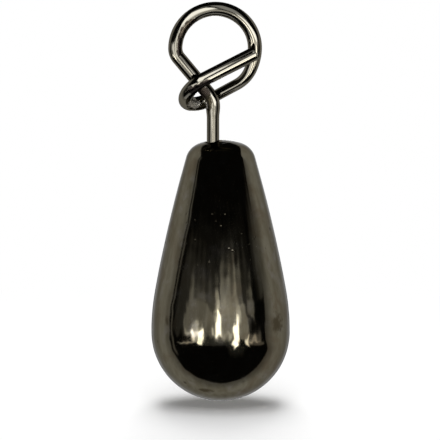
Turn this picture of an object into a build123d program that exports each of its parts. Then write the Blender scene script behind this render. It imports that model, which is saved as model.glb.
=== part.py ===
from build123d import *
import os
from math import atan2, cos, pi, radians, sin, sqrt, tan

# Drop-shot fishing sinker: a pear-shaped weight that turns on the foot of a bent wire line clip.
# Millimetres. The origin is the centre of the clip's eye, X runs across the eye, Y through it
# from front to back, and Z up along the stem.

# Line clip, one wire from its head up the stem, round the eye and back to the free gate
wire_diameter = 0.8
eye_radius = 2.49  # to the middle of the wire
stem_offset = 0.13  # the stem stands this far left of the eye's centre
lean_angle = 39.6  # degrees, between the stem and the strand that leans out to the eye
stem_bend_radius = 1.35
eye_corner_radius = 0.94  # where the leaning strand turns up into the eye
neck_length = 2.16  # straight stem between the weight's crown and the first bend
return_angle = 29.5  # degrees, fall of the strand that returns behind the stem
return_drop = 0.25  # the return strand passes this far below the eye's round
wrap_reach = 0.36  # the return strand runs this far past the stem before it turns
gate_angle = 26.1  # degrees, rise of the gate across the front of the eye
strand_spacing = 1.43  # between the return strand and the gate, seen from the front
wrap_lead = 0.47  # the gate is straight up to this far short of the leaning strand
gate_overlap = 0.08  # the gate's end passes the middle of the eye's wire by this much
strand_gap = 0.18  # air between strands that cross at the hairpin
gate_gap = 0.06  # air that the line is pulled through at the gate's end
tip_chamfer = 0.06

# Weight
belly_diameter = 8.7
belly_curve_radius = 15.0  # of the arc that draws the flank in above the widest place
belly_curve_angle = 10.3  # degrees, turn of that arc
flank_height = 11.06  # from the widest place up to the shoulder
shoulder_diameter = 4.315
crown_height = 1.045  # rounded shoulder and low dome, above the flank
bore_offset = 0.475  # the bore stands this far left of the weight's own axis

# Swivel
running_clearance = 0.1  # round the stem in its bush
head_overhang = 0.15  # the head reaches this far under the bush
head_height = 0.5
head_chamfer = 0.12
head_clearance = 0.15  # round the head in its cavity
seat_width = 0.15  # ledge that the bush stands on
bush_length = 2.2
axial_float = 0.05  # between the head and the bush
foot_clearance = 0.3  # under the head
mouth_lead = 0.08  # the bush's mouth opens by this much all round

# Sizes that follow
wire_radius = wire_diameter / 2
bush_bore_radius = wire_radius + running_clearance
head_radius = bush_bore_radius + head_overhang
cavity_radius = head_radius + head_clearance
bush_radius = cavity_radius + seat_width
belly_radius = belly_diameter / 2
shoulder_radius = shoulder_diameter / 2

# Stem, lean and first corner of the eye
stem_x = -stem_offset
up = Vector(0, 0, 1)
across = Vector(1, 0, 0)
lean = radians(lean_angle)
lean_way = Vector(-sin(lean), 0, cos(lean))
lean_out = Vector(cos(lean), 0, sin(lean))
bend_run = stem_bend_radius * tan(lean / 2)
corner_run = eye_corner_radius * tan(lean / 2)
eye_left = Vector(-eye_radius, 0, 0)
eye_corner = eye_left - up * corner_run
stem_corner = Vector(stem_x, 0, eye_corner.Z - (eye_radius - stem_offset) / tan(lean))

# Heights down the stem
crown_z = stem_corner.Z - bend_run - neck_length
seat_z = crown_z - bush_length
head_top_z = seat_z - axial_float
foot_z = head_top_z - head_height
bore_depth = crown_z - foot_z + foot_clearance
belly_z = crown_z - crown_height - flank_height
weight_x = stem_x + bore_offset


def strand_frame(angle):
    """Ways along and out from the eye's centre to a strand that rises to the right by angle."""
    rise = radians(angle)
    return Vector(cos(rise), 0, sin(rise)), Vector(sin(rise), 0, -cos(rise))


def crossing(foot, way, point, out):
    """Distance from foot along way to the line through point that is square to out."""
    return (point - foot).dot(out) / way.dot(out)


# The eye leaves the stem's plane as it goes round, so that the return strand clears the stem
return_way, return_out = strand_frame(return_angle)
return_foot = return_out * (eye_radius + return_drop)
return_length = wrap_reach - crossing(return_foot, return_way, stem_corner, across)
wrap_depth = wire_diameter + strand_gap
eye_turn = pi * 3 / 2 - radians(return_angle)
eye_shift = wrap_depth / (1 + 2 * return_length / (eye_radius * eye_turn))


def eye_depth(turn):
    """Depth of the eye's wire after a turn in radians, growing with its square."""
    return Vector(0, eye_shift * (turn / eye_turn) ** 2, 0)


def eye_slope(turn):
    """Depth gained there for each millimetre of wire."""
    return Vector(0, 2 * eye_shift * turn / eye_turn**2 / eye_radius, 0)


eye_top = up * eye_radius + eye_depth(pi / 2)
eye_right = across * eye_radius + eye_depth(pi)
return_start = return_foot + eye_depth(eye_turn)
return_run = eye_slope(eye_turn) - return_way
return_end = return_start + return_run * return_length

# The gate passes in front of the leaning strand and ends in front of the eye's right side
gate_way, gate_out = strand_frame(gate_angle)
gate_offset = eye_radius + return_drop - strand_spacing
gate_foot = gate_out * gate_offset
gate_tail = crossing(gate_foot, gate_way, stem_corner, lean_out) + wrap_lead
gate_start = gate_foot + gate_way * gate_tail - Vector(0, wrap_depth, 0)
gate_reach = sqrt(eye_radius**2 - gate_offset**2) + gate_overlap
gate_mouth = gate_foot + gate_way * gate_reach
gate_tip = gate_mouth + eye_depth(pi - atan2(gate_mouth.Z, gate_mouth.X))
gate_tip -= Vector(0, wire_diameter + gate_gap, 0)


def biarc(start, start_way, end, end_way):
    """Two arcs, tangent where they meet, that leave start and reach end along the given ways."""
    leave = start_way.normalized()
    reach = end_way.normalized()
    span = end - start
    along = span.dot(leave + reach)
    turn = 2 * (1 - leave.dot(reach))
    handle = (sqrt(along**2 + turn * span.dot(span)) - along) / turn
    near = start + leave * handle
    far = end - reach * handle
    middle = (near + far) / 2
    TangentArc(start, middle, tangent=leave)
    TangentArc(middle, end, tangent=far - near)


with BuildPart() as line_clip:
    with BuildSketch(Plane.XY.offset(foot_z)):
        with Locations((stem_x, 0)):
            Circle(head_radius)
    extrude(amount=head_height)
    chamfer(line_clip.edges().filter_by(GeomType.CIRCLE), length=head_chamfer)
    with BuildLine() as wire_path:
        stem = Line((stem_x, 0, head_top_z), stem_corner - up * bend_run)
        stem_bend = TangentArc(stem @ 1, stem_corner + lean_way * bend_run, tangent=up)
        leaning = Line(stem_bend @ 1, eye_corner - lean_way * corner_run)
        TangentArc(leaning @ 1, eye_left, tangent=lean_way)
        biarc(eye_left, up, eye_top, across + eye_slope(pi / 2))
        biarc(eye_top, across + eye_slope(pi / 2), eye_right, eye_slope(pi) - up)
        biarc(eye_right, eye_slope(pi) - up, return_start, return_run)
        Line(return_start, return_end)
        biarc(return_end, return_run, gate_start, gate_tip - gate_start)
        Line(gate_start, gate_tip)
    with BuildSketch(Plane(stem @ 0, z_dir=up)):
        Circle(wire_radius)
    sweep(path=wire_path.line)
    tip_edge = line_clip.edges().filter_by(GeomType.CIRCLE).sort_by_distance(gate_tip)[0]
    chamfer(tip_edge, length=tip_chamfer)

# The weight's outer form: a half-round base, a drawn-in flank and a rounded, domed crown
weight_plane = Plane((weight_x, 0, belly_z), x_dir=across, z_dir=(0, -1, 0))

with BuildPart() as pear_form:
    with BuildSketch(weight_plane):
        with BuildLine():
            base = CenterArc((0, 0), belly_radius, -90, 90)
            belly = JernArc(base @ 1, base % 1, belly_curve_radius, belly_curve_angle)
            flank = TangentArc(belly @ 1, (shoulder_radius, flank_height), tangent=belly % 1)
            top = Vector(0, flank_height + crown_height)
            biarc(flank @ 1, flank % 1, top, -across)
            Line(top, base @ 0)
        make_face()
    revolve(axis=Axis((weight_x, 0, 0), (0, 0, 1)))

with BuildPart() as sinker_body:
    add(pear_form.part)
    with Locations((stem_x, 0, crown_z)):
        CounterBoreHole(cavity_radius, bush_radius, bush_length, bore_depth)

with BuildPart() as swivel_bush:
    with BuildSketch(Plane.XY.offset(seat_z)):
        with Locations((stem_x, 0)):
            Circle(bush_radius)
    extrude(amount=bush_length)
    add(pear_form.part, mode=Mode.INTERSECT)
    with Locations((stem_x, 0, crown_z)):
        CounterSinkHole(bush_bore_radius, bush_bore_radius + mouth_lead, bush_length)

wire_length = sum(edge.length for edge in wire_path.edges())
print("wire", round(wire_length, 2), "mm, swept volume", round(pi * wire_radius**2 * wire_length, 3))
print("clip volume", round(line_clip.part.volume, 3), "weight volume", round(sinker_body.part.volume, 1))

os.makedirs("parts", exist_ok=True)
line_clip.part.label = "line_clip"
export_step(line_clip.part, "parts/line_clip.step")
sinker_body.part.label = "sinker_body"
export_step(sinker_body.part, "parts/sinker_body.step")
swivel_bush.part.label = "swivel_bush"
export_step(swivel_bush.part, "parts/swivel_bush.step")
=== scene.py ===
import bpy
import numpy as np
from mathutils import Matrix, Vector


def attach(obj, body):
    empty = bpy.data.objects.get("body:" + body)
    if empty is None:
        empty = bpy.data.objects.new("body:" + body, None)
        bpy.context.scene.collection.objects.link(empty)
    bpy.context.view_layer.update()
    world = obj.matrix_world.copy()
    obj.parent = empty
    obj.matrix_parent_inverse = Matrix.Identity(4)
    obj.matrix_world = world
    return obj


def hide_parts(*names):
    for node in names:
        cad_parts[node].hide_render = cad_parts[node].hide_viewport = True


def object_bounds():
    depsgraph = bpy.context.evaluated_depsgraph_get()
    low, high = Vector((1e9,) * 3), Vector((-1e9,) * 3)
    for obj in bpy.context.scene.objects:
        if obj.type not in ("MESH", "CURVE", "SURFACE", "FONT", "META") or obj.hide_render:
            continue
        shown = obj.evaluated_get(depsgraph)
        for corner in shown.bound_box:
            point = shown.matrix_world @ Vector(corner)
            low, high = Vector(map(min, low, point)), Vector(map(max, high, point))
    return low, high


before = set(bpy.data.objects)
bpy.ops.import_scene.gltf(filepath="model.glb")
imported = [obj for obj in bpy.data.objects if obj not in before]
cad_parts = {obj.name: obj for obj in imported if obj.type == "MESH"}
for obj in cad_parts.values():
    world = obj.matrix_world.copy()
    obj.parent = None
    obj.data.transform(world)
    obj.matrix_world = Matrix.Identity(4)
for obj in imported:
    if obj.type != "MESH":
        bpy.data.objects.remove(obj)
cadLow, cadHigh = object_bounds()
metresPerMm = 0.001  # sizes below are in millimetres until a mesh is made
sharpAngle = 28.0  # degrees between faces, past which an edge is drawn sharp
print("frame loaded:", ", ".join(sorted(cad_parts)))


# small helpers


def linearColour(hexColour):
    # sRGB hex to linear red, green, blue and full alpha
    share = np.array([int(hexColour[i:i + 2], 16) for i in (1, 3, 5)]) / 255
    linear = np.where(share <= 0.04045, share / 12.92, ((share + 0.055) / 1.055) ** 2.4)
    return (*linear.tolist(), 1.0)


def addNode(tree, kind, links=None, **settings):
    # one node: its settings, then each input as a linked socket or a plain value
    node = tree.nodes.new(kind)
    for name, value in settings.items():
        setattr(node, name, value)
    for key, value in (links or {}).items():
        if isinstance(value, bpy.types.NodeSocket):
            tree.links.new(value, node.inputs[key])
        else:
            node.inputs[key].default_value = value
    return node


def newMaterial(name):
    material = bpy.data.materials.new(name)
    material.use_nodes = True
    material.node_tree.nodes.clear()
    return material, material.node_tree


def smooth(share):
    # 0 to 1 with level ends: 3t² - 2t³
    t = np.clip(share, 0, 1)
    return t * t * (3 - 2 * t)


def softBand(value, low, high, lowSoft, highSoft):
    # 1 between low and high, falling to 0 over the softness beyond each
    return smooth((value - low) / lowSoft + 1) * smooth((high - value) / highSoft + 1)


def easedSteps(value, knots, levels):
    # the level at each value: it eases from one knot's level to the next one's, and is held beyond them
    knots, levels = np.array(knots, float), np.array(levels, float)
    place = np.clip(np.searchsorted(knots, value, side="right") - 1, 0, len(knots) - 2)
    share = (value - knots[place]) / (knots[place + 1] - knots[place])
    return levels[place] + (levels[place + 1] - levels[place]) * smooth(share)


def placeGrid(name, rows, startPole=None, endPole=None, closeRows=False):
    # rows is an array of rings, each closed on itself: quads join neighbouring rings, and a fan of
    # triangles closes an end at its pole, or the last ring joins the first
    ringCount, around = rows.shape[:2]
    points = rows.reshape(-1, 3)
    index = np.arange(ringCount * around).reshape(ringCount, around)
    lower = index if closeRows else index[:-1]
    upper = np.roll(index, -1, axis=0) if closeRows else index[1:]
    quads = np.stack([lower, np.roll(lower, -1, 1), np.roll(upper, -1, 1), upper], -1).reshape(-1, 4)
    faces = quads.tolist()
    for pole, ring, turned in ((startPole, index[0], True), (endPole, index[-1], False)):
        if pole is not None:
            tip = np.full(around, len(points))
            points = np.vstack([points, pole])
            pair = (np.roll(ring, -1), ring) if turned else (ring, np.roll(ring, -1))
            faces += np.stack([*pair, tip], -1).tolist()
    mesh = bpy.data.meshes.new(name)
    mesh.from_pydata((points * metresPerMm).tolist(), [], faces)
    mesh.polygons.foreach_set("use_smooth", np.ones(len(faces), bool))
    mesh.update()
    mesh.set_sharp_from_angle(angle=np.radians(sharpAngle))
    piece = bpy.data.objects.new(name, mesh)
    bpy.context.scene.collection.objects.link(piece)
    return piece


def lineRun(start, end, spacing):
    # straight run: start plus equal shares of the way to end
    count = int(np.ceil(np.linalg.norm(end - start) / spacing)) + 1
    return start + np.linspace(0, 1, count)[:, None] * (end - start)


def arcRun(start, way, end, spacing):
    # circle that leaves start along way and passes end: its radius is the chord squared over twice
    # the chord's offset from way, and it turns by twice the angle between way and chord
    way = way / np.linalg.norm(way)
    chord = end - start
    offset = chord - way * (chord @ way)
    offsetLength = np.linalg.norm(offset)
    radius = chord @ chord / (2 * offsetLength)
    turn = 2 * np.arctan2(offsetLength, chord @ way)
    count = int(np.ceil(radius * turn / spacing)) + 2
    angle = np.linspace(0, turn, count)[:, None]
    return start + radius * (offset / offsetLength * (1 - np.cos(angle)) + way * np.sin(angle))


def biarcRun(start, startWay, end, endWay, spacing):
    # two arcs that meet along one line, with handles of equal length at start and end
    leave = startWay / np.linalg.norm(startWay)
    reach = endWay / np.linalg.norm(endWay)
    span = end - start
    along = span @ (leave + reach)
    turn = 2 * (1 - leave @ reach)
    handle = (np.sqrt(along ** 2 + turn * (span @ span)) - along) / turn
    near, far = start + leave * handle, end - reach * handle
    middle = (near + far) / 2
    return joinRuns([arcRun(start, leave, middle, spacing), arcRun(middle, far - near, end, spacing)])


def joinRuns(runs):
    # one run after another, without the shared points
    return np.vstack([runs[0]] + [run[1:] for run in runs[1:]])


def runLengths(run):
    # length from the start to each point
    return np.concatenate([[0], np.cumsum(np.linalg.norm(np.diff(run, axis=0), axis=1))])


def alongRun(run, lengths):
    # points of a run at the given lengths from its start
    known = runLengths(run)
    return np.stack([np.interp(lengths, known, run[:, i]) for i in range(3)], -1)


def waves(points, waveLength, count, seed):
    # gentle unevenness about 0 with a spread of 1: a sum of sine waves through space, each with a
    # seeded way, length and phase
    draw = np.random.default_rng(seed)
    ways = draw.normal(size=(count, 3))
    ways /= np.linalg.norm(ways, axis=1)[:, None]
    pitch = 2 * np.pi / (waveLength * draw.uniform(0.7, 1.4, count))
    phase = draw.uniform(0, 2 * np.pi, count)
    return np.sin((points @ ways.T) * pitch + phase).sum(-1) * np.sqrt(2 / count)


def dips(points, depth, waveLength, count, seed):
    # how far a skin sinks in at each point: from 0 to 4 times the depth, and twice it on the whole
    return depth * np.clip(2 + waves(points, waveLength, count, seed), 0, 4)


# the frame's axes: up along the stem, across the eye, and through it from front to back

up = np.array([0.0, 0, 1])
across = np.array([1.0, 0, 0])
through = np.array([0.0, 1, 0])


# line clip: the wire's route, then an oval profile carried along it

clipWire = {
    # the solid's own sizes
    "wireDiameter": 0.8, "eyeRadius": 2.49, "stemOffset": 0.13, "leanAngle": 39.6,
    "stemBendRadius": 1.35, "eyeCornerRadius": 0.94, "neckLength": 2.16,
    "returnAngle": 29.5, "returnDrop": 0.25, "wrapReach": 0.36,
    "gateAngle": 26.1, "strandSpacing": 1.43, "wrapLead": 0.47, "gateOverlap": 0.08,
    "strandGap": 0.18, "gateGap": 0.06, "tipChamfer": 0.06,
    "headRadius": 0.65, "headHeight": 0.5, "headChamfer": 0.12, "headDepth": 2.25,
    # pressed sections, width in the eye's plane and depth through it: the stem stays round
    "stemSection": (0.79, 0.79), "eyeSection": (0.9, 0.76), "returnSection": (0.72, 0.84),
    "pressRun": 0.75, "ringSpacing": 0.04, "sides": 64,
    # dips along the wire: depth, length, number of waves and seed
    "uneven": (0.0012, 2.2, 7, 3),
}
lean = np.radians(clipWire["leanAngle"])
leanWay = np.array([-np.sin(lean), 0, np.cos(lean)])
bendRun = clipWire["stemBendRadius"] * np.tan(lean / 2)
cornerRun = clipWire["eyeCornerRadius"] * np.tan(lean / 2)
eyeLeft = -across * clipWire["eyeRadius"]
eyeCorner = eyeLeft - up * cornerRun
stemX = -clipWire["stemOffset"]
leanDrop = (clipWire["eyeRadius"] - clipWire["stemOffset"]) / np.tan(lean)
stemCorner = np.array([stemX, 0, eyeCorner[2] - leanDrop])
crownZ = stemCorner[2] - bendRun - clipWire["neckLength"]


def clipRoute():
    # stem, lean and eye lie in one plane; then the eye drifts back with the square of its turn, the
    # strand returns behind the stem, and a hairpin brings the gate across the front
    size = clipWire
    eye = size["eyeRadius"]
    wire = size["wireDiameter"]
    fine = size["ringSpacing"] / 4

    def strandFrame(angle):
        rise = np.radians(angle)
        return np.array([np.cos(rise), 0, np.sin(rise)]), np.array([np.sin(rise), 0, -np.cos(rise)])

    def crossing(foot, way, point, out):
        return (point - foot) @ out / (way @ out)

    returnWay, returnOut = strandFrame(size["returnAngle"])
    returnFoot = returnOut * (eye + size["returnDrop"])
    returnLength = size["wrapReach"] - crossing(returnFoot, returnWay, stemCorner, across)
    wrapDepth = wire + size["strandGap"]
    eyeTurn = np.pi * 3 / 2 - np.radians(size["returnAngle"])
    eyeShift = wrapDepth / (1 + 2 * returnLength / (eye * eyeTurn))

    def eyeDepth(turn):
        return through * eyeShift * (turn / eyeTurn) ** 2

    def eyeSlope(turn):
        return through * 2 * eyeShift * turn / eyeTurn ** 2 / eye

    eyeTop = up * eye + eyeDepth(np.pi / 2)
    eyeRight = across * eye + eyeDepth(np.pi)
    returnStart = returnFoot + eyeDepth(eyeTurn)
    returnRun = eyeSlope(eyeTurn) - returnWay
    returnEnd = returnStart + returnRun * returnLength

    gateWay, gateOut = strandFrame(size["gateAngle"])
    gateOffset = eye + size["returnDrop"] - size["strandSpacing"]
    gateFoot = gateOut * gateOffset
    leanOut = np.array([np.cos(lean), 0, np.sin(lean)])
    gateTail = crossing(gateFoot, gateWay, stemCorner, leanOut) + size["wrapLead"]
    gateStart = gateFoot + gateWay * gateTail - through * wrapDepth
    gateMouth = gateFoot + gateWay * (np.sqrt(eye ** 2 - gateOffset ** 2) + size["gateOverlap"])
    gateTip = gateMouth + eyeDepth(np.pi - np.arctan2(gateMouth[2], gateMouth[0]))
    gateTip = gateTip - through * (wire + size["gateGap"])

    foot = np.array([stemX, 0, crownZ - size["headDepth"] - size["headHeight"]])
    bendStart = stemCorner - up * bendRun
    bendEnd = stemCorner + leanWay * bendRun
    leanEnd = eyeCorner - leanWay * cornerRun
    topWay = across + eyeSlope(np.pi / 2)
    rightWay = eyeSlope(np.pi) - up
    runs = {
        "stem": lineRun(foot, bendStart, fine),
        "bend": arcRun(bendStart, up, bendEnd, fine),
        "lean": lineRun(bendEnd, leanEnd, fine),
        "corner": arcRun(leanEnd, leanWay, eyeLeft, fine),
        "eyeLeft": biarcRun(eyeLeft, up, eyeTop, topWay, fine),
        "eyeRight": biarcRun(eyeTop, topWay, eyeRight, rightWay, fine),
        "eyeFoot": biarcRun(eyeRight, rightWay, returnStart, returnRun, fine),
        "return": lineRun(returnStart, returnEnd, fine),
        "hairpin": biarcRun(returnEnd, returnRun, gateStart, gateTip - gateStart, fine),
        "gate": lineRun(gateStart, gateTip, fine),
    }
    ends = np.cumsum([runLengths(run)[-1] for run in runs.values()])
    return joinRuns(list(runs.values())), dict(zip(runs, ends))


def bendClip():
    # an oval of points stands square to the route at each station, as wide and deep as the pressed wire
    # there, but the foot is upset into a chamfered head and the gate's cut end is chamfered too
    size = clipWire
    route, ends = clipRoute()
    total = ends["gate"]
    stem, eye, back = size["stemSection"], size["eyeSection"], size["returnSection"]
    radius = stem[0] / 2
    head, headTop, chamfer = size["headRadius"], size["headHeight"], size["headChamfer"]
    tip, edge = size["tipChamfer"], size["ringSpacing"] / 8
    footStations = np.array([0, 0, chamfer, headTop - chamfer, headTop, headTop, headTop + edge])
    footRadii = np.array([head - 2 * chamfer, head - chamfer, head, head, head - chamfer, radius, radius])
    stemStations = np.arange(headTop + 2 * edge, total - 3 * tip, size["ringSpacing"])
    tipStations = total - np.array([2 * tip, tip + edge, tip, tip - edge, edge, 0, 0, 0])
    tipDrop = np.array([0, 0, edge / 3, edge * 1.2, tip - edge, tip, tip + edge, radius / 2])
    station = np.concatenate([footStations, stemStations, tipStations])
    wireDip = dips(np.outer(stemStations, up), *size["uneven"])
    # the section changes just below the first bend, along the eye's foot, and behind the stem
    press = size["pressRun"]
    knots = [ends["stem"] - press, ends["stem"], ends["eyeRight"], ends["eyeFoot"],
             ends["return"] - press, ends["return"]]
    sections = np.array([stem, eye, eye, back, back, eye]) / 2
    wide, deep = (easedSteps(station, knots, sections[:, i]) for i in (0, 1))
    sunk = np.concatenate([np.zeros(len(footStations)), wireDip, tipDrop])
    foot = np.arange(len(station)) < len(footStations)
    footRadius = np.concatenate([footRadii, np.zeros(len(station) - len(footRadii))])
    wide = np.where(foot, footRadius, wide - sunk)
    deep = np.where(foot, footRadius, deep - sunk)
    centre = alongRun(route, station)
    reach = size["ringSpacing"] / 2
    before, after = np.maximum(station - reach, 0), np.minimum(station + reach, total)
    way = alongRun(route, after) - alongRun(route, before)
    way /= np.linalg.norm(way, axis=1)[:, None]
    # the part of the depth axis that is square to the route, and the way square to both
    depthWay = through - way * (way @ through)[:, None]
    depthWay /= np.linalg.norm(depthWay, axis=1)[:, None]
    widthWay = np.cross(way, depthWay)
    angle = np.linspace(0, 2 * np.pi, size["sides"], endpoint=False)
    depths, widths = deep[:, None] * np.cos(angle), wide[:, None] * np.sin(angle)
    rows = centre[:, None] + depthWay[:, None] * depths[..., None] + widthWay[:, None] * widths[..., None]
    piece = placeGrid("lineClip", rows, startPole=centre[0], endPole=centre[-1])
    # where each point lay on the wire before it was bent, for marks that run along it
    straight = np.stack(np.broadcast_arrays(depths, widths, station[:, None]), -1)
    straight = np.vstack([straight.reshape(-1, 3), [[0, 0, station[0]], [0, 0, station[-1]]]])
    attribute = piece.data.attributes.new("straightWire", "FLOAT_VECTOR", "POINT")
    attribute.data.foreach_set("vector", (straight * metresPerMm).ravel())
    return piece


# weight: the pear's outline turned about its axis, with a bore beside the axis

pearWeight = {
    # the solid's own sizes, then those of the surface
    "bellyDiameter": 8.7, "bellyCurveRadius": 15.0, "bellyCurveAngle": 10.3, "flankHeight": 11.06,
    "shoulderDiameter": 4.315, "crownHeight": 1.045, "boreOffset": 0.475,
    "boreRadius": 0.95, "seatDepth": 2.2, "cavityRadius": 0.8, "cavityDepth": 3.05,
    "crownRingRadius": 1.95, "boreEdge": 0.006,
    "sides": 320, "rings": 250, "crownRings": 36,
    # dips in the skin: depth, length, number of waves and seed; they fade out towards both ends
    "uneven": (0.003, 2.6, 24, 11), "ripple": (0.0016, 0.9, 40, 12), "flankRippleShare": 0.3,
    "footFade": 3.0, "crownFade": 1.5,
}
weightX = stemX + pearWeight["boreOffset"]
bellyZ = crownZ - pearWeight["crownHeight"] - pearWeight["flankHeight"]


def pearOutline():
    # half-round base, belly arc, flank arc and a rounded shoulder that runs into a low dome
    size = pearWeight
    fine = 0.01
    belly = size["bellyDiameter"] / 2
    curve, angle = size["bellyCurveRadius"], np.radians(size["bellyCurveAngle"])
    bottom, widest = -up * belly, across * belly
    bellyEnd = widest + curve * (up * np.sin(angle) - across * (1 - np.cos(angle)))
    bellyWay = up * np.cos(angle) - across * np.sin(angle)
    shoulder = across * size["shoulderDiameter"] / 2 + up * size["flankHeight"]
    flank = arcRun(bellyEnd, bellyWay, shoulder, fine)
    flankWay = flank[-1] - flank[-2]
    top = up * (size["flankHeight"] + size["crownHeight"])
    return joinRuns([
        arcRun(bottom, across, widest, fine),
        arcRun(widest, up, bellyEnd, fine),
        flank,
        biarcRun(shoulder, flankWay, top, -across, fine),
    ])


outline = pearOutline()
outlineHeights = outline[:, 2] + bellyZ


def crownHeight(x, y):
    # height of the crown over a point, from its distance to the weight's axis
    upper = outline[:, 2] > pearWeight["flankHeight"]
    return np.interp(np.hypot(x - weightX, y), outline[upper, 0][::-1], outlineHeights[upper][::-1])


def turnWeight():
    # rings follow the outline up to the crown; there they slide from the weight's axis to the bore's,
    # each point keeping the crown's height, and then go down the bore, over its ledge and cavity
    size = pearWeight
    lengths = runLengths(outline)
    upper = outline[:, 2] > size["flankHeight"]
    crownStart = lengths[upper][outline[upper, 0] > size["crownRingRadius"]][-1]
    station = np.linspace(0, crownStart, size["rings"] + 1)[1:]
    outer = alongRun(outline, station)
    slide = np.linspace(0, 1, size["crownRings"] + 1)[1:]
    bore, edge, cavity = size["boreRadius"], size["boreEdge"], size["cavityRadius"]
    seat, floor = crownZ - size["seatDepth"], crownZ - size["cavityDepth"]
    crownRadius = size["crownRingRadius"] + slide * (bore + edge - size["crownRingRadius"])
    crownX = weightX + slide * (stemX - weightX)
    innerRadius = np.array([bore + edge / 3, bore, bore, bore, bore, cavity, cavity, cavity, cavity / 2])
    innerDrop = np.array([edge / 3, edge, 2 * edge])
    innerZ = np.array([0, 0, 0, seat + edge, seat, seat, seat - edge, floor, floor])
    radius = np.concatenate([outer[:, 0], crownRadius, innerRadius])
    centreX = np.concatenate([np.full(len(outer), weightX), crownX, np.full(len(innerRadius), stemX)])
    angle = np.linspace(0, 2 * np.pi, size["sides"], endpoint=False)
    x = centreX[:, None] + radius[:, None] * np.cos(angle)
    y = radius[:, None] * np.sin(angle)
    z = np.repeat(np.concatenate([outer[:, 2] + bellyZ, slide, innerZ])[:, None], size["sides"], 1)
    first, last = len(outer), len(outer) + len(slide)
    z[first:last] = crownHeight(x[first:last], y[first:last])
    for i, drop in enumerate(innerDrop):
        z[last + i] = crownHeight(x[last + i], y[last + i]) - drop
    rows = np.stack([x, y, z], -1)
    # the cast skin is a little uneven: it sinks in by up to a few micrometres, less near both ends
    flat = rows[:first].reshape(-1, 3)
    dip = dips(flat, *size["uneven"])
    ripple = dips(flat, *size["ripple"])
    aboveBelly = (flat[:, 2] - bellyZ) / (size["flankHeight"] / 2)
    dip += ripple * (1 - (1 - size["flankRippleShare"]) * smooth(aboveBelly))
    fade = smooth(station / size["footFade"]) * smooth((crownStart - station) / size["crownFade"])
    dip = dip.reshape(first, -1) * fade[:, None]
    rows[:first, :, 0] -= dip * np.cos(angle)
    rows[:first, :, 1] -= dip * np.sin(angle)
    bottom = np.array([weightX, 0, outlineHeights[0]])
    return placeGrid("pearWeight", rows, startPole=bottom, endPole=np.array([stemX, 0, floor]))


# bush: a closed profile turned about the stem, its top cut to the crown

swivelBush = {"outerRadius": 0.95, "boreRadius": 0.5, "mouthLead": 0.08, "length": 2.2, "edge": 0.006,
              "sides": 128}


def turnBush():
    # up the outside, over the crown's own height, down the mouth and the bore, and back underneath
    size = swivelBush
    outer, bore, edge = size["outerRadius"], size["boreRadius"], size["edge"]
    mouth = bore + size["mouthLead"]
    seat = crownZ - size["length"]
    radius = np.array([outer - edge, outer, outer, outer, outer, outer - edge / 3, outer - edge,
                       (outer + mouth) / 2, mouth + edge, mouth, mouth - edge, bore + edge, bore, bore,
                       bore, bore, bore + edge])
    drop = np.array([2 * edge, edge, edge / 3, 0, 0, 0, edge / 2, edge * 2])
    angle = np.linspace(0, 2 * np.pi, size["sides"], endpoint=False)
    x = stemX + radius[:, None] * np.cos(angle)
    y = radius[:, None] * np.sin(angle)
    z = np.full_like(x, seat)
    z[1] += edge
    z[2] += 2 * edge
    z[3:11] = crownHeight(x[3:11], y[3:11]) - drop[:, None]
    mouthFoot = crownHeight(stemX, 0) - size["mouthLead"]
    z[11] = mouthFoot + edge
    z[12] = mouthFoot - edge
    z[13] = mouthFoot - 2 * edge
    z[14] += 2 * edge
    z[15] += edge
    return placeGrid("swivelBush", np.stack([x, y, z], -1), closeRows=True)


# finishes

platingEdgeTint = (0.5, 0.5, 0.5, 1.0)  # black nickel stays dark towards its edges


def mmScale(size):
    # texture scale that gives features of this size, in millimetres, on coordinates in metres
    return 1 / (size * metresPerMm)


def reckon(tree, operation, *values):
    # one step of arithmetic on linked or plain values
    return addNode(tree, "ShaderNodeMath", dict(enumerate(values)), operation=operation).outputs[0]


def remap(tree, value, low, high, toLow=0.0, toHigh=1.0, soft=True):
    # low to high becomes toLow to toHigh, along an S where it is soft, and is held beyond both
    return addNode(tree, "ShaderNodeMapRange", {
        "Value": value, "From Min": low, "From Max": high, "To Min": toLow, "To Max": toHigh},
        interpolation_type="SMOOTHSTEP" if soft else "LINEAR").outputs[0]


def mixColour(tree, share, first, second):
    # the first colour where the share is 0, the second where it is 1; 6 and 7 are the colour inputs
    return addNode(tree, "ShaderNodeMix", {0: share, 6: first, 7: second}, data_type="RGBA").outputs[2]


def addNoise(tree, place, size, detail, roughness=0.5, distortion=0.0):
    # noise from 0 to 1 with features of this size in millimetres
    return addNode(tree, "ShaderNodeTexNoise", {
        "Vector": place, "Scale": mmScale(size), "Detail": detail, "Roughness": roughness,
        "Distortion": distortion}).outputs["Fac"]


def addStreaks(tree, place, width, length, detail, roughness=0.5):
    # noise drawn out along z, so that features of this width have this length
    stretch = addNode(tree, "ShaderNodeMapping", {"Vector": place, "Scale": (1.0, 1.0, width / length)})
    return addNoise(tree, stretch.outputs[0], width, detail, roughness)


def cellDots(tree, place, size, reach, channel, share, level):
    # the level at the middle of a cell of this size, falling to 0 over the reach, in those cells alone
    # whose random colour is above the share
    cells = addNode(tree, "ShaderNodeTexVoronoi", {
        "Vector": place, "Scale": mmScale(size), "Randomness": 1.0})
    drawn = addNode(tree, "ShaderNodeSeparateColor", {"Color": cells.outputs["Color"]}).outputs[channel]
    dot = remap(tree, cells.outputs["Distance"], *reach, level, 0.0)
    return reckon(tree, "MULTIPLY", dot, reckon(tree, "GREATER_THAN", drawn, share))


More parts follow.
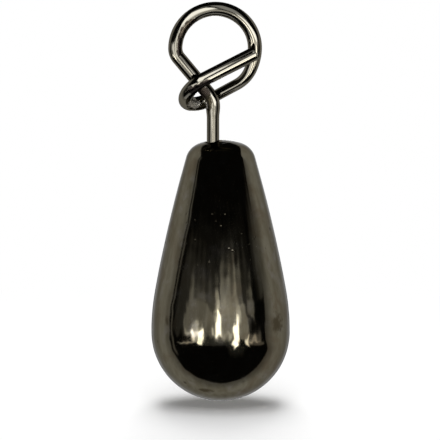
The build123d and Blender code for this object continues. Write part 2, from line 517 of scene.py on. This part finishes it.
def tornSpot(tree, place, spot, noise, tear, edge):
    # 1 inside an ellipsoid, given by its middle and half sizes in millimetres, falling to 0 outside it,
    # with an edge that the noise tears
    middle, half = spot
    offset = addNode(tree, "ShaderNodeVectorMath", {
        0: place, 1: tuple(v * metresPerMm for v in middle)}, operation="SUBTRACT")
    share = addNode(tree, "ShaderNodeVectorMath", {
        0: offset.outputs[0], 1: tuple(mmScale(v) for v in half)}, operation="MULTIPLY")
    reach = addNode(tree, "ShaderNodeVectorMath", {0: share.outputs[0]}, operation="LENGTH")
    torn = reckon(tree, "MULTIPLY_ADD", noise, tear, reach.outputs["Value"])
    return remap(tree, torn, *edge, 1.0, 0.0)


def addBump(tree, height, relief, under=None):
    # relief: its strength, and the depth in millimetres that a height of 1 stands for
    strength, depth = relief
    links = {"Height": height, "Strength": strength, "Distance": depth * metresPerMm}
    if under is not None:
        links["Normal"] = under
    return addNode(tree, "ShaderNodeBump", links).outputs["Normal"]


def platedMetal(tree, tone, rough, normal):
    # the polished metal of all three pieces
    shader = addNode(tree, "ShaderNodeBsdfPrincipled", {
        "Base Color": tone, "Metallic": 1.0, "Roughness": rough, "Specular Tint": platingEdgeTint,
        "Normal": normal})
    addNode(tree, "ShaderNodeOutputMaterial", {"Surface": shader.outputs[0]})


def platedWeightFinish():
    # black nickel plated on a sintered tungsten body: a dark, slightly warm mirror with an uneven
    # skin, faint brown stains, dark spots and dark patches, and fine pits in a band
    finish = {
        "streakDark": "#504B3D", "streakPale": "#646053", "bare": "#66625A", "stain": "#524A3C",
        "darkSpot": "#3F3A30", "darkPatch": "#3E382B",
        # feature sizes, and the part of each noise over which its tone comes in
        "streakWidth": 0.5, "streakLength": 4.5, "streakSpan": (0.3, 0.7),
        "hazeSize": 0.99, "hazeSpan": (0.5, 0.75), "stainSize": 2.2, "stainSpan": (0.46, 0.72),
        "spotSize": 0.9, "spotReach": (0.06, 0.2), "spotShare": 0.86,
        "pitSize": 0.42, "pitReach": (0.04, 0.2), "pitShare": 0.5, "grainSize": 0.12,
        "roughSpan": (0.3, 0.7), "roughness": (0.06, 0.11),
        "grainBump": (0.03, 0.02), "pitBump": (0.75, 0.012),
        "patchTear": 2.4, "patchEdge": (1.5, 2.2),
        # dark patches, one of them low on the front by the foot: the middle and half sizes along x, y and
        # z
        "darkPatches": (((3.85, -2.5, -17.0), (0.6, 0.8, 1.0)), ((-0.61, -2.65, -21.25), (0.75, 0.5, 0.25)),
                    ((-3.05, -2.7, -16.8), (0.3, 0.4, 0.45)), ((2.2, 3.3, -13.2), (0.5, 0.5, 0.8))),
        # fine pits in a band round the flank: its foot and top
        "pitBand": (-13.6, -9.3), "pitBandSoft": 0.8,
    }
    material, tree = newMaterial("blackNickelOnTungsten")
    place = addNode(tree, "ShaderNodeTexCoord").outputs["Object"]
    streaks = addStreaks(tree, place, finish["streakWidth"], finish["streakLength"],
                         detail=4.0, roughness=0.6)
    haze = addNoise(tree, place, finish["hazeSize"], detail=4.0, roughness=0.6)
    stains = addNoise(tree, place, finish["stainSize"], detail=5.0, roughness=0.62, distortion=0.6)
    blots = addNoise(tree, place, finish["spotSize"], detail=5.0, roughness=0.7)
    grain = addNoise(tree, place, finish["grainSize"], detail=2.0)
    spots = cellDots(tree, place, finish["spotSize"], finish["spotReach"], "Red", finish["spotShare"],
                     level=1.0)
    # tones one over another, each where its share says
    layers = [(remap(tree, streaks, *finish["streakSpan"], soft=False), "streakPale"),
              (remap(tree, haze, *finish["hazeSpan"]), "bare"),
              (remap(tree, stains, *finish["stainSpan"]), "stain"),
              (spots, "darkSpot")]
    for spot in finish["darkPatches"]:
        torn = tornSpot(tree, place, spot, blots, finish["patchTear"], finish["patchEdge"])
        layers.append((torn, "darkPatch"))
    tone = linearColour(finish["streakDark"])
    for share, colour in layers:
        tone = mixColour(tree, share, tone, linearColour(finish[colour]))
    rough = remap(tree, haze, *finish["roughSpan"], *finish["roughness"], soft=False)
    height = addNode(tree, "ShaderNodeSeparateXYZ", {0: place}).outputs["Z"]
    foot, top = (edge * metresPerMm for edge in finish["pitBand"])
    half = (top - foot) / 2
    fromMiddle = reckon(tree, "ABSOLUTE", reckon(tree, "ADD", height, -(foot + top) / 2))
    band = remap(tree, fromMiddle, half - finish["pitBandSoft"] * metresPerMm, half, 1.0, 0.0)
    pits = cellDots(tree, place, finish["pitSize"], finish["pitReach"], "Green", finish["pitShare"],
                    level=-1.0)
    pits = reckon(tree, "MULTIPLY", pits, band)
    normal = addBump(tree, pits, finish["pitBump"], under=addBump(tree, grain, finish["grainBump"]))
    platedMetal(tree, tone, rough, normal)
    return material


def platedWireFinish():
    # black nickel on drawn steel wire: the same dark mirror, with fine lines along the wire from the die
    # and small nicks from the bending tool; spots of painted shade dim some of its highlights, and a pale
    # spot is a painted reflection
    finish = {"colour": "#5D594E", "worn": "#79756B", "wornSpan": (0.6, 0.8),
              "lineWidth": 0.05, "lineLength": 2.5, "lineBump": (0.05, 0.002),
              "nickSize": 0.35, "nickBump": (0.1, 0.01),
              "roughSpan": (0.3, 0.7), "roughness": (0.05, 0.1),
              "spotTear": 1.2, "spotEdge": (1.35, 1.65),
              # spots: a tool mark and a darker wedge on the stem's bend; painted shade on the gate's root
              # and inside the eye's left, dimming the highlights mirrored there; a pale rough spot under
              # the hairpin, a painted
              # reflection: colour, roughness added, then the middle and half sizes
              "toolMarksAndPaintedLight": (("#241F1A", 0.3, ((-0.62, -0.35, -2.76), (0.36, 0.5, 0.46))),
                        ("#262219", 0.25, ((-0.4, -0.35, -3.45), (0.22, 0.4, 0.6))),
                        ("#1E1A17", 0.12, ((-1.4, -1.15, -2.48), (0.36, 0.45, 0.3))),
                        ("#1E1A17", 0.12, ((-1.05, -1.25, -2.3), (0.36, 0.45, 0.3))),
                        ("#1E1A17", 0.12, ((-0.7, -1.3, -2.12), (0.36, 0.45, 0.26))),
                        ("#1E1A17", 0.12, ((-0.38, -1.35, -1.96), (0.34, 0.45, 0.22))),
                        ("#16120F", 0.12, ((-2.26, -0.3, -0.06), (0.15, 0.5, 0.5))),
                        ("#16120F", 0.12, ((-2.2, -0.3, 0.55), (0.15, 0.5, 0.5))),
                        ("#2A251E", 0.12, ((-1.99, -0.3, 1.06), (0.22, 0.5, 0.44))),
                        ("#2A251E", 0.12, ((-1.68, -0.3, 1.48), (0.32, 0.5, 0.32))),
                        ("#2A251E", 0.12, ((-1.34, -0.3, 1.77), (0.32, 0.5, 0.2))),
                        ("#8E897E", 0.4, ((-1.12, -0.2, -3.56), (0.66, 0.9, 0.5))))}
    material, tree = newMaterial("blackNickelOnSteelWire")
    place = addNode(tree, "ShaderNodeAttribute", attribute_name="straightWire").outputs["Vector"]
    lines = addStreaks(tree, place, finish["lineWidth"], finish["lineLength"], detail=3.0)
    nicks = addNoise(tree, place, finish["nickSize"], detail=3.0, roughness=0.6)
    worn = remap(tree, nicks, *finish["wornSpan"])
    tone = mixColour(tree, worn, linearColour(finish["colour"]), linearColour(finish["worn"]))
    rough = remap(tree, lines, *finish["roughSpan"], *finish["roughness"], soft=False)
    where = addNode(tree, "ShaderNodeTexCoord").outputs["Object"]
    # each spot goes into the tone alike: the tool marks, the painted shade and the painted reflection
    for colour, added, spot in finish["toolMarksAndPaintedLight"]:
        spotMask = tornSpot(tree, where, spot, nicks, finish["spotTear"], finish["spotEdge"])
        tone = mixColour(tree, spotMask, tone, linearColour(colour))
        rough = reckon(tree, "MULTIPLY_ADD", spotMask, added, rough)
    normal = addBump(tree, nicks, finish["nickBump"], under=addBump(tree, lines, finish["lineBump"]))
    platedMetal(tree, tone, rough, normal)
    return material


def platedBushFinish():
    # black nickel on turned brass: fine rings from the lathe, and mottled wear
    finish = {"colour": "#57534A", "worn": "#6B6354", "ringPitch": 0.377, "mottleSize": 0.4,
              "roughness": (0.13, 0.24), "ringBump": (0.1, 0.01)}
    material, tree = newMaterial("blackNickelOnBrass")
    place = addNode(tree, "ShaderNodeTexCoord").outputs["Object"]
    centred = addNode(tree, "ShaderNodeMapping", {
        "Vector": place, "Location": (-stemX * metresPerMm, 0.0, 0.0)})
    # the node's wave turns by 20 radians to the unit
    waveScale = mmScale(finish["ringPitch"]) * 2 * np.pi / 20
    rings = addNode(tree, "ShaderNodeTexWave", {
        "Vector": centred.outputs[0], "Scale": waveScale, "Distortion": 0.4},
        wave_type="RINGS", rings_direction="Z")
    mottle = addNoise(tree, place, finish["mottleSize"], detail=3.0)
    tone = mixColour(tree, mottle, linearColour(finish["colour"]), linearColour(finish["worn"]))
    rough = remap(tree, mottle, 0.0, 1.0, *finish["roughness"], soft=False)
    platedMetal(tree, tone, rough, addBump(tree, rings.outputs["Fac"], finish["ringBump"]))
    return material


# the three pieces, each on its body and in place of its solid

for make, finishOf, body, node, slotName in (
    (bendClip, platedWireFinish, "clip", "line_clip", "clip_wire"),
    (turnWeight, platedWeightFinish, "weight", "sinker_body", "weight_plating"),
    (turnBush, platedBushFinish, "weight", "swivel_bush", "bush_metal"),
):
    piece = make()
    piece.data.materials.append(finishOf())
    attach(piece, body)
    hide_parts(node)
    print("made", piece.name, len(piece.data.vertices), "points")


# camera: the photograph's view, from a little above

cameraSet = {"elevation": 9.0, "distance": 900.0, "span": 27.58, "aimX": 0.307, "aimZ": -10.864,
             "nearClip": 10.0, "farClip": 10000.0}


def placeCamera():
    tilt = np.radians(cameraSet["elevation"])
    back = np.array([0, -np.cos(tilt), np.sin(tilt)])
    aim = np.array([cameraSet["aimX"], 0, cameraSet["aimZ"]])
    data = bpy.data.cameras.new("viewCamera")
    data.lens = data.sensor_width * cameraSet["distance"] / cameraSet["span"]
    data.clip_start = cameraSet["nearClip"] * metresPerMm
    data.clip_end = cameraSet["farClip"] * metresPerMm
    camera = bpy.data.objects.new("viewCamera", data)
    camera.location = Vector((aim + back * cameraSet["distance"]) * metresPerMm)
    camera.rotation_euler = Vector(-back).to_track_quat("-Z", "Y").to_euler()
    bpy.context.scene.collection.objects.link(camera)
    bpy.context.scene.camera = camera
    return back


cameraWay = placeCamera()
print("camera at", cameraSet["distance"], "mm")


# studio: white all round, a dark hood in front with bright panes for the metal to mirror

hoodSet = {
    "radius": 55.0, "rings": 320, "sides": 720, "dark": 0.012,
    # the panes' edges wander by about this many degrees
    "wobble": 0.7, "wobbleLength": 7.0, "wobbleWaves": 12, "wobbleSeeds": (21, 22),
    # the hood's rim, in degrees from the camera's line, at rolls in degrees from straight up
    "rimRolls": (-180, -105, -88, -70, -48, 0, 48, 68, 95, 112, 180),
    "rimAngles": (92, 92, 92, 79, 80, 142, 84, 79, 78, 91, 92),
    # past the rim a skirt that starts grey and pales to white over its width
    "rimSoft": 1.0, "skirtWidths": (22, 22, 22, 22, 20, 8, 20, 22, 22, 22, 22),
    "skirtGlows": (0.4, 0.55, 0.62, 0.62, 0.8, 1.0, 0.9, 0.42, 0.35, 0.45, 0.4),
    # a thin pale line inside the left rim
    "lineInset": 5.0, "lineHalf": 0.6, "lineSoft": 1.6, "lineRolls": (-112, -50), "lineRollSoft": 8.0,
    "lineGlow": 0.45,
}
# panes: rows of elevation with the left and right azimuth there, in degrees seen from the belly, then
# the softness of the sides, foot and top, and the radiance
hoodPanes = (
    {"rows": ((-4.9, -7, 2), (-2.3, -7.4, 1.5), (1, -5.6, 3), (4, -4.2, 0.6), (6, -4.7, -1.6),
              (7.8, -5.2, -3)), "soft": (1.0, 1.0, 1.2), "glow": 14.0},
    {"rows": ((-17, 23.5, 25), (-13, 21.5, 27.5), (-9, 20, 29.3), (-4, 20.5, 28.4), (-0.5, 23, 28),
              (2, 25.8, 28.6)), "soft": (1.0, 1.5, 1.2), "glow": 14.0},
    {"rows": ((-12, -33, -31), (-9, -35, -29), (-5.5, -34.5, -27.5), (-3.2, -32, -28)),
     "soft": (1.0, 1.2, 1.0), "glow": 13.0},
    {"rows": ((-6.5, -44, -33), (-5, -50, -33), (-3.8, -48, -33)), "soft": (2.5, 0.9, 0.9), "glow": 9.0},
    {"rows": ((-2.6, -47, -30), (-0.5, -44, -32)), "soft": (2.0, 1.0, 1.0), "glow": 2.0},
    {"rows": ((-4.8, -61, -46), (-4, -60, -46)), "soft": (3.0, 0.9, 0.9), "glow": 2.6},
    {"rows": ((-12, -71, -63), (-10.4, -60, -48), (-8.6, -46, -36)),
     "soft": (4.0, 0.8, 0.8), "glow": 2.6},
    {"rows": ((-14, 44, 47), (-12, 42, 45.5), (-8.5, 39.5, 44.5), (-6.6, 40, 45.5)),
     "soft": (1.2, 1.2, 1.0), "glow": 8.0},
    {"rows": ((-9.3, 46, 65), (-8.2, 46, 60)), "soft": (3.0, 1.0, 1.0), "glow": 2.4},
    {"rows": ((-3.9, 2, 21), (-3.3, 2, 21)), "soft": (1.0, 0.6, 0.6), "glow": 1.6},
    {"rows": ((-4, -13, -10.5), (-1, -13, -11.5)), "soft": (1.0, 1.0, 1.0), "glow": 3.5},
    {"rows": ((8, -8, -1.5), (14, -9, -5)), "soft": (1.5, 1.5, 2.5), "glow": 1.6},
    {"rows": ((3.5, 1, 25), (10, 2, 25)), "soft": (3.0, 2.0, 2.5), "glow": 0.5},
    {"rows": ((9.5, 31, 36), (12, 32, 36.5), (14.8, 22, 36)), "soft": (2.0, 2.0, 2.0), "glow": 0.5},
    {"rows": ((5, 45, 48.5), (11, 46.5, 50), (12, 47, 50)), "soft": (1.5, 2.0, 1.5), "glow": 0.6},
    {"rows": ((-3.6, -56, -50), (-2.6, -55, -50)), "soft": (2.0, 0.8, 0.8), "glow": 1.8},
    {"rows": ((-3, -40, -31), (0.2, -36, -30)), "soft": (2.0, 1.0, 1.2), "glow": 1.5},
    {"rows": ((2, 26, 32), (9.5, 27, 32)), "soft": (1.5, 1.5, 2.0), "glow": 1.2},
    {"rows": ((-4.5, -5, 42), (2, -8, 43), (8, -8, 38), (11, -5, 31), (13, 1, 26.5)),
     "soft": (3.0, 2.0, 5.6), "glow": 1.15},
    {"rows": ((15, 4, 23), (18, 8, 20)), "soft": (9.0, 3.0, 4.0), "glow": 0.12},
    {"rows": ((-4, -58, -8), (3, -58, -9), (7, -56, -18), (11, -50, -27)),
     "soft": (7.0, 2.5, 4.6), "glow": 0.68},
    {"rows": ((2, -21, -10), (12.5, -19, -8)), "soft": (6.0, 3.0, 5.0), "glow": 0.28},
    {"rows": ((3, 50, 54.5), (9, 51, 55.5), (12, 51.5, 55.5)), "soft": (2.5, 3.0, 3.5), "glow": 0.7},
    # a pale end right of the highlights, and the slow paling towards the right rim
    {"rows": ((-14, 58, 74), (-10, 50, 72), (-7, 46, 66)), "soft": (4.0, 2.0, 2.0), "glow": 0.55},
    {"rows": ((11, 82, 140), (14, 80, 140), (20, 84, 140)), "soft": (22.0, 4.0, 4.0), "glow": 0.32},
    {"rows": ((-22, 18, 34), (-15, 14, 36)), "soft": (9.0, 14.0, 4.0), "glow": 0.06},
    {"rows": ((14, -60, 60), (22, -48, 48)), "soft": (8.0, 4.0, 4.0), "glow": 0.02},
    {"rows": ((-12, -24, 18), (-5.5, -26, 18)), "soft": (6.0, 2.5, 2.0), "glow": 0.15},
    {"rows": ((-4, -80, 46), (12, -74, 46), (14, -68, 46)), "soft": (6.0, 3.0, 6.0), "glow": 0.12},
)
rearSet = {"radius": 55.0, "rings": 90, "sides": 180, "rim": 26.0, "darkAngle": 13.0, "dark": 0.02,
           "stripHalf": 1.5, "stripSoft": 2.0, "stripFoot": -16.0, "stripTop": 6.0, "stripGlow": 6.0}
bellyCentre = np.array([weightX, 0, bellyZ])


def paintPanes(panes, azimuth, elevation):
    # radiance at each azimuth and elevation: the sum of soft-edged panes
    glow = np.zeros_like(azimuth)
    for pane in panes:
        height, left, right = np.array(pane["rows"], float).T
        leftHere, rightHere = (np.interp(elevation, height, side) for side in (left, right))
        sideSoft, footSoft, topSoft = pane["soft"]
        inHeight = softBand(elevation, height[0], height[-1], footSoft, topSoft)
        inWidth = softBand(azimuth, leftHere, rightHere, sideSoft, sideSoft)
        glow += pane["glow"] * inHeight * inWidth
    return glow


firstMirrorDepth = 1.5  # between the depths of a ray mirrored once, 1, and twice, 2


def glowCap(name, centre, radius, middleWay, angle, roll, paint, colour="#FFFFFF", clear=False):
    # a cap of a sphere: rings at the given angles from its middle way, each point's radiance painted
    # from its azimuth and elevation; only mirrored rays see it, and a clear cap lets them through and
    # glows for the first of them alone
    sideways = np.cross(up, middleWay)
    sideways /= np.linalg.norm(sideways)
    upward = np.cross(middleWay, sideways)
    outward = np.sin(roll)[:, None] * sideways + np.cos(roll)[:, None] * upward
    ways = np.cos(angle)[..., None] * middleWay + np.sin(angle)[..., None] * outward
    cap = placeGrid(name, centre + ways * radius, startPole=centre + middleWay * radius)
    ways = np.vstack([ways.reshape(-1, 3), middleWay])
    azimuth = np.degrees(np.arctan2(ways[:, 0], -ways[:, 1]))
    elevation = np.degrees(np.arcsin(np.clip(ways[:, 2], -1, 1)))
    attribute = cap.data.attributes.new("glow", "FLOAT", "POINT")
    attribute.data.foreach_set("value", paint(azimuth, elevation).astype(np.float32))
    material, tree = newMaterial(name + "Glow")
    strength = addNode(tree, "ShaderNodeAttribute", attribute_name="glow").outputs["Fac"]
    if clear:
        depth = addNode(tree, "ShaderNodeLightPath").outputs["Ray Depth"]
        strength = reckon(tree, "MULTIPLY", strength, reckon(tree, "LESS_THAN", depth, firstMirrorDepth))
    light = addNode(tree, "ShaderNodeEmission", {"Color": linearColour(colour), "Strength": strength})
    if clear:
        glass = addNode(tree, "ShaderNodeBsdfTransparent")
        light = addNode(tree, "ShaderNodeAddShader", {0: light.outputs[0], 1: glass.outputs[0]})
    addNode(tree, "ShaderNodeOutputMaterial", {"Surface": light.outputs[0]})
    material.cycles.emission_sampling = "NONE"
    cap.data.materials.append(material)
    cap.visible_camera = cap.visible_diffuse = cap.visible_shadow = False
    cap.visible_transmission = cap.visible_volume_scatter = False
    return cap


def roundCap(size):
    # rolls round a cap, and the angles of its rings from the middle out to the rim
    roll = np.linspace(-np.pi, np.pi, size["sides"], endpoint=False)
    return roll, np.linspace(0, size["rim"], size["rings"] + 1)[1:, None] * np.ones_like(roll)


def frontHood():
    # rings at equal shares of the way from the camera's line, past a rim that varies with the roll, to
    # the end of a skirt
    size = hoodSet
    roll = np.linspace(-np.pi, np.pi, size["sides"], endpoint=False)
    rim, skirt, skirtGlow = (
        easedSteps(np.degrees(roll), size["rimRolls"], size[key])
        for key in ("rimAngles", "skirtWidths", "skirtGlows"))
    angle = np.linspace(0, 1, size["rings"] + 1)[1:, None] * (rim + skirt)

    def paint(azimuth, elevation):
        spot = np.stack([azimuth, elevation, np.zeros_like(azimuth)], -1)
        azimuth, elevation = (
            value + size["wobble"] * waves(spot, size["wobbleLength"], size["wobbleWaves"], seed)
            for value, seed in zip((azimuth, elevation), size["wobbleSeeds"]))
        inset = np.append((rim - angle).ravel(), rim.max())
        rollHere = np.append(np.broadcast_to(np.degrees(roll), angle.shape).ravel(), 0)
        fromLine = inset - size["lineInset"]
        line = softBand(fromLine, -size["lineHalf"], size["lineHalf"], size["lineSoft"], size["lineSoft"])
        line *= softBand(rollHere, *size["lineRolls"], size["lineRollSoft"], size["lineRollSoft"])
        inside = size["dark"] + size["lineGlow"] * line + paintPanes(hoodPanes, azimuth, elevation)
        paling = np.append((skirtGlow + (1 - skirtGlow) * smooth((angle - rim) / skirt)).ravel(), 1)
        return inside + (paling - inside) * smooth(0.5 - inset / size["rimSoft"])

    glowCap("frontHood", bellyCentre, size["radius"], cameraWay, np.radians(angle), roll, paint)


def rearCard():
    # a small dark card straight behind, fading to white, with a bright strip: it draws a thin dark edge
    # round the metal, and gives the back a highlight of its own
    size = rearSet
    roll, angle = roundCap(size)

    def paint(azimuth, elevation):
        behind = np.abs((azimuth + 360) % 360 - 180)
        ringAngle = np.append(angle.ravel(), 0)
        fade = smooth((ringAngle - size["darkAngle"]) / (size["rim"] - size["darkAngle"]))
        soft = size["stripSoft"]
        strip = softBand(behind, -size["stripHalf"], size["stripHalf"], soft, soft)
        strip *= softBand(elevation, size["stripFoot"], size["stripTop"], soft, soft)
        return size["dark"] + (1 - size["dark"]) * fade + size["stripGlow"] * strip

    glowCap("rearCard", bellyCentre, size["radius"], -cameraWay, np.radians(angle), roll, paint)


# window: panes in front of the eye, in degrees seen from its centre, that only the wire mirrors
windowSet = {"radius": 34.0, "rings": 200, "sides": 480, "rim": 88.0, "centreZ": -1.5,
             "daylight": "#F0F4FF"}
windowPanes = (
    # upper left, the brightest, with a dim foot and a dim top
    {"rows": ((5, -15, 3), (10, -19, 4), (17, -25, 4), (24, -29, 3), (31, -31, -1), (38, -32, -7)),
     "soft": (3.0, 3.0, 5.0), "glow": 9.5},
    {"rows": ((-9, -6, 2), (-4, -12, 4), (1, -15, 4)), "soft": (2.0, 2.0, 3.0), "glow": 4.2},
    {"rows": ((45, -42, -24), (55, -24, -4)), "soft": (6.0, 4.0, 5.0), "glow": 1.0},
    # right, brightest at its middle
    {"rows": ((-9, 17, 40), (-4, 16, 47), (1, 16, 48), (9, 19, 28)),
     "soft": (2.5, 2.0, 3.0), "glow": 9.5},
    {"rows": ((-17, 14, 26), (-12, 14, 28)), "soft": (5.0, 2.0, 1.0), "glow": 3.0},
    {"rows": ((-27, 12, 27), (-23, 6, 24)), "soft": (4.0, 2.0, 1.0), "glow": 2.3},
    {"rows": ((-21.5, 34, 52), (-18.5, 34, 52)), "soft": (4.0, 1.5, 1.5), "glow": 3.4},
    {"rows": ((-20, 0, 9), (-11, 2, 9)), "soft": (3.0, 2.0, 2.0), "glow": 0.7},
    {"rows": ((11, 14, 34), (20, 12, 34), (30, 12, 36), (40, 8, 36), (54, 0, 24)),
     "soft": (6.0, 3.0, 8.0), "glow": 1.8},
    # left, level with the eye, and dim below it
    {"rows": ((-13, -32, -13), (-8, -38, -16), (-3, -45, -20), (-1, -45, -24)),
     "soft": (3.0, 2.0, 2.0), "glow": 5.0},
    {"rows": ((-21, -50, -30), (-17, -42, -27), (-13, -38, -25)), "soft": (5.0, 1.5, 1.5), "glow": 2.6},
    {"rows": ((-30, -37, -27), (-24, -30, -4), (-18, -14, -2), (-13, -11, -3)),
     "soft": (3.0, 2.0, 2.0), "glow": 1.6},
    {"rows": ((-6, -62, -46), (1, -66, -48)), "soft": (6.0, 2.0, 3.0), "glow": 0.8},
    # a pale band below
    {"rows": ((-90, -90, 90), (-60, -90, 90)), "soft": (1.0, 1.0, 9.0), "glow": 1.4},
)


def eyeWindow():
    # a clear cap round the front of the eye, linked to the wire alone
    size = windowSet
    roll, angle = roundCap(size)

    def paint(azimuth, elevation):
        return paintPanes(windowPanes, azimuth, elevation)

    middle = np.array([0, 0, size["centreZ"]])
    window = glowCap("eyeWindow", middle, size["radius"], -through, np.radians(angle), roll, paint,
                     colour=size["daylight"], clear=True)
    wireOnly = bpy.data.collections.new("wireOnly")
    wireOnly.objects.link(bpy.data.objects["lineClip"])
    window.light_linking.receiver_collection = wireOnly


# the floor takes shadow within the near radius and is plain white past the far one
floorSet = {"radius": 3000.0, "rings": 60, "sides": 96, "colour": "#FFFFFF", "drop": 0.2,
            "shadeShare": 0.84, "nearRadius": 22.0, "farRadius": 45.0}


def paleFloor():
    # a disc of rings that widen with the square of their number, just under the hanging weight
    size = floorSet
    radius = size["radius"] * np.linspace(0, 1, size["rings"] + 1)[1:] ** 2
    angle = np.linspace(0, 2 * np.pi, size["sides"], endpoint=False)
    foot = cadLow.z / metresPerMm - size["drop"]
    rows = np.stack(np.broadcast_arrays(
        radius[:, None] * np.cos(angle), radius[:, None] * np.sin(angle), foot), -1)
    floor = placeGrid("paleFloor", rows, startPole=np.array([0, 0, foot]))
    material, tree = newMaterial("paleFloor")
    place = addNode(tree, "ShaderNodeTexCoord").outputs["Object"]
    level = addNode(tree, "ShaderNodeVectorMath", {0: place, 1: (1.0, 1.0, 0.0)}, operation="MULTIPLY")
    reach = addNode(tree, "ShaderNodeVectorMath", {0: level.outputs[0]}, operation="LENGTH")
    near, far = size["nearRadius"] * metresPerMm, size["farRadius"] * metresPerMm
    shade = remap(tree, reach.outputs["Value"], near, far, size["shadeShare"], 0.0)
    colour = linearColour(size["colour"])
    white = addNode(tree, "ShaderNodeEmission", {"Color": colour, "Strength": 1.0})
    matt = addNode(tree, "ShaderNodeBsdfDiffuse", {"Color": colour})
    mix = addNode(tree, "ShaderNodeMixShader", {0: shade, 1: white.outputs[0], 2: matt.outputs[0]})
    addNode(tree, "ShaderNodeOutputMaterial", {"Surface": mix.outputs[0]})
    material.cycles.emission_sampling = "NONE"
    floor.data.materials.append(material)
    floor.visible_glossy = False  # the metal mirrors the white world, the hood and the card instead


worldSet = {"colour": "#FFFFFF", "fill": 0.09}


def whiteWorld():
    # white where it is seen or mirrored, and a quieter fill for the floor
    world = bpy.data.worlds.new("whiteWorld")
    bpy.context.scene.world = world
    world.use_nodes = True
    tree = world.node_tree
    tree.nodes.clear()
    path = addNode(tree, "ShaderNodeLightPath")
    seen = reckon(tree, "MAXIMUM", path.outputs["Is Camera Ray"], path.outputs["Is Glossy Ray"])
    seen = reckon(tree, "MAXIMUM", seen, path.outputs["Is Transmission Ray"])
    strength = remap(tree, seen, 0.0, 1.0, worldSet["fill"], 1.0, soft=False)
    light = addNode(tree, "ShaderNodeBackground", {
        "Color": linearColour(worldSet["colour"]), "Strength": strength})
    addNode(tree, "ShaderNodeOutputWorld", {"Surface": light.outputs[0]})


# soft boxes: tilt from straight up towards the back, width and depth; they give the floor its shadow
softBoxes = ({"tilt": 25.0, "width": 150.0, "depth": 373.0, "glow": 7.6},
             {"tilt": -22.0, "width": 150.0, "depth": 320.0, "glow": 3.9})
softBoxReach = 400.0


def lightFloor():
    # rectangles that face the weight, each with the power that gives the radiance asked for
    for box in softBoxes:
        tilt = np.radians(box["tilt"])
        way = np.array([0, np.sin(tilt), np.cos(tilt)])
        data = bpy.data.lights.new("softBox", "AREA")
        data.shape = "RECTANGLE"
        data.size = box["width"] * metresPerMm
        data.size_y = box["depth"] * metresPerMm
        data.energy = box["glow"] * np.pi * data.size * data.size_y
        lamp = bpy.data.objects.new("softBox", data)
        lamp.location = Vector((bellyCentre + way * softBoxReach) * metresPerMm)
        lamp.rotation_euler = Vector(-way).to_track_quat("-Z", "Y").to_euler()
        lamp.visible_camera = lamp.visible_glossy = False
        bpy.context.scene.collection.objects.link(lamp)


frontHood()
rearCard()
eyeWindow()
paleFloor()
whiteWorld()
lightFloor()
bpy.context.scene.view_settings.view_transform = "Standard"
print("studio ready")
